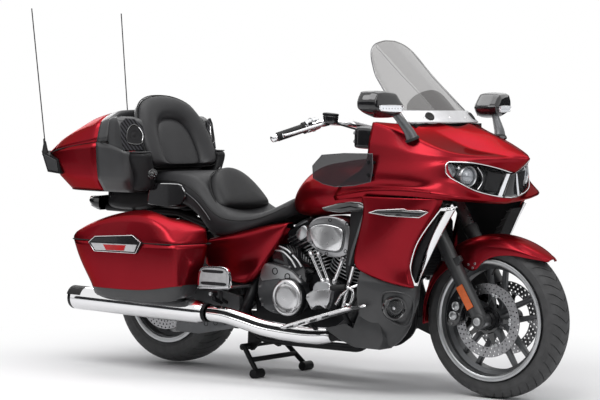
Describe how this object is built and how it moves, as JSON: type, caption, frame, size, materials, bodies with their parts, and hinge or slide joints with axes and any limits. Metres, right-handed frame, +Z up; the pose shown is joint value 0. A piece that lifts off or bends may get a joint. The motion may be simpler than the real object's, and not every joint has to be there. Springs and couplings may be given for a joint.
{
  "type": "touring motorcycle",
  "caption": "Full-dress touring cruiser motorcycle with a fork-steered front wheel, hinged lids on its bags and trunk, folding passenger boards and stands, parked on its centre stand.",
  "frame": {"origin": "on the floor, below the middle of the machine's length and width", "axes": "+X forward, +Y to the rider's left, +Z up"},
  "size_m": [2.678, 1.0054, 1.6173],
  "materials": {
    "candy_red": "deep candy metallic, clear coated",
    "charcoal": "dark grey satin",
    "black_metal": "black satin",
    "grey_metal": "dark grey satin",
    "chrome": "polished",
    "aluminium": "satin",
    "steel": "brushed",
    "tyre": "matte",
    "belt": "matte",
    "leather": "grained dark grey",
    "rubber": "matte",
    "gloss_black": "gloss",
    "black_plastic": "matte",
    "smoke_glass": "smoked",
    "lamp_glass": "clear",
    "red_lens": "gloss"
  },
  "bodies": {
    "chassis": {"frame": "black_metal", "cradle_right": "black_metal", "cradle_left": "black_metal", "cross_tubes": "black_metal", "bag_brackets": "black_metal", "swingarm": "grey_metal", "rear_axle": "steel", "crankcase": "black_metal", "engine_covers": "chrome", "cylinders": "black_metal", "pushrod_tubes": "chrome", "air_cleaner": "aluminium", "fuel_tank": "candy_red", "seat": "leather", "backrest": "leather", "side_covers": "candy_red", "fairing": "candy_red", "hood": "candy_red", "headlamp": "lamp_glass", "dash": "black_plastic", "windshield": "smoke_glass", "wind_deflectors": "smoke_glass", "fairing_sides": "candy_red", "lower_cowls": "charcoal", "fog_lamps": "lamp_glass", "mirrors": "gloss_black", "trunk_box": "candy_red", "speaker_pods": "charcoal", "antennas": "black_plastic", "saddlebags": "candy_red", "rear_fender": "black_plastic", "tail_lamp": "red_lens", "exhausts": "chrome", "drive_belt": "belt", "floorboards": "black_metal", "foot_controls": "chrome", "board_mounts": "grey_metal"},
    "steering": {"fork_clamps": "black_metal", "fork_legs": "grey_metal", "handlebar": "chrome", "grips": "rubber", "hand_controls": "black_plastic", "front_fender": "candy_red", "front_calipers": "black_metal", "front_axle": "steel"},
    "front_wheel": {"front_tyre": "tyre", "front_rim": "grey_metal", "front_discs": "steel"},
    "rear_wheel": {"rear_tyre": "tyre", "rear_rim": "grey_metal", "rear_disc": "steel", "rear_pulley": "black_metal"},
    "trunk_lid_body": {"trunk_lid": "candy_red"},
    "bag_lid_right_body": {"bag_lid_right": "candy_red"},
    "bag_lid_left_body": {"bag_lid_left": "candy_red"},
    "passenger_board_right_body": {"passenger_board_right": "chrome"},
    "passenger_board_left_body": {"passenger_board_left": "chrome"},
    "centre_stand_body": {"centre_stand": "black_metal"},
    "side_stand_body": {"side_stand": "black_metal"}
  },
  "joints": [
    {"name": "steer", "type": "hinge", "parent": "chassis", "child": "steering", "pos_m": [0.62423, 0, 0.9], "axis": [-0.515, 0, 0.8572], "range_deg": [-35, 35]},
    {"name": "front_wheel_spin", "type": "hinge", "parent": "steering", "child": "front_wheel", "pos_m": [1.02, 0, 0.3195], "axis": [0, 1, 0], "continuous": true},
    {"name": "rear_wheel_spin", "type": "hinge", "parent": "chassis", "child": "rear_wheel", "pos_m": [-0.69, 0, 0.3232], "axis": [0, 1, 0], "continuous": true},
    {"name": "trunk_lid_hinge", "type": "hinge", "parent": "chassis", "child": "trunk_lid_body", "pos_m": [-1.04, 0.3195, 0.9595], "axis": [-1, 0, 0], "range_deg": [0, 75]},
    {"name": "bag_lid_right_hinge", "type": "hinge", "parent": "chassis", "child": "bag_lid_right_body", "pos_m": [-0.49, -0.2645, 0.661], "axis": [-1, 0, 0], "range_deg": [0, 70]},
    {"name": "bag_lid_left_hinge", "type": "hinge", "parent": "chassis", "child": "bag_lid_left_body", "pos_m": [-0.49, 0.2645, 0.661], "axis": [1, 0, 0], "range_deg": [0, 70]},
    {"name": "passenger_board_right_hinge", "type": "hinge", "parent": "chassis", "child": "passenger_board_right_body", "pos_m": [-0.16, -0.352, 0.395], "axis": [1, 0, 0], "range_deg": [0, 90]},
    {"name": "passenger_board_left_hinge", "type": "hinge", "parent": "chassis", "child": "passenger_board_left_body", "pos_m": [-0.16, 0.352, 0.395], "axis": [-1, 0, 0], "range_deg": [0, 90]},
    {"name": "centre_stand_hinge", "type": "hinge", "parent": "chassis", "child": "centre_stand_body", "pos_m": [-0.19, 0, 0.125], "axis": [0, 1, 0], "range_deg": [0, 110]},
    {"name": "side_stand_hinge", "type": "hinge", "parent": "chassis", "child": "side_stand_body", "pos_m": [0.11, 0.19, 0.18], "axis": [0.0229, -0.8885, -0.4583], "range_deg": [0, 100]}
  ]
}
